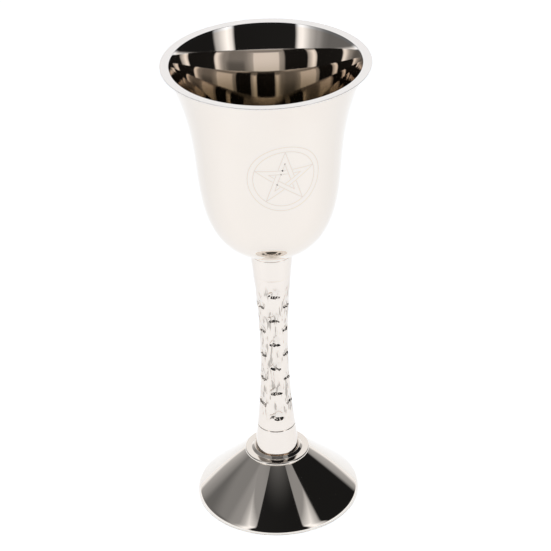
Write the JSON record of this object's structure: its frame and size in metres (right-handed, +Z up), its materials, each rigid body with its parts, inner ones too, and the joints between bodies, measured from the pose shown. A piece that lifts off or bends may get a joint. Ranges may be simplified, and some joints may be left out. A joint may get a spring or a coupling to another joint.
{
  "type": "ritual goblet",
  "caption": "Tall metal chalice: bell-shaped bowl with a turned-out lip and an engraved pentacle, waisted stem with interlaced relief, hollow conical foot; stands by itself.",
  "frame": {"origin": "centre of the ring that the foot stands on", "axes": "+Z up along the stem to the mouth; the front, with the pentacle, faces -Y, turned 11.6 degrees towards +X"},
  "size_m": [0.071, 0.071, 0.175],
  "materials": {
    "bowl": "silver plate, mirror polished inside and out, with a fine engraved pentacle",
    "stem": "silver plate, polished over the cast relief, slightly softer than the bowl",
    "foot": "silver plate, mirror polished outside, plainer in the hollow"
  },
  "bodies": {
    "root": {"bowl": "bowl", "stem": "stem", "foot": "foot"}
  },
  "joints": []
}
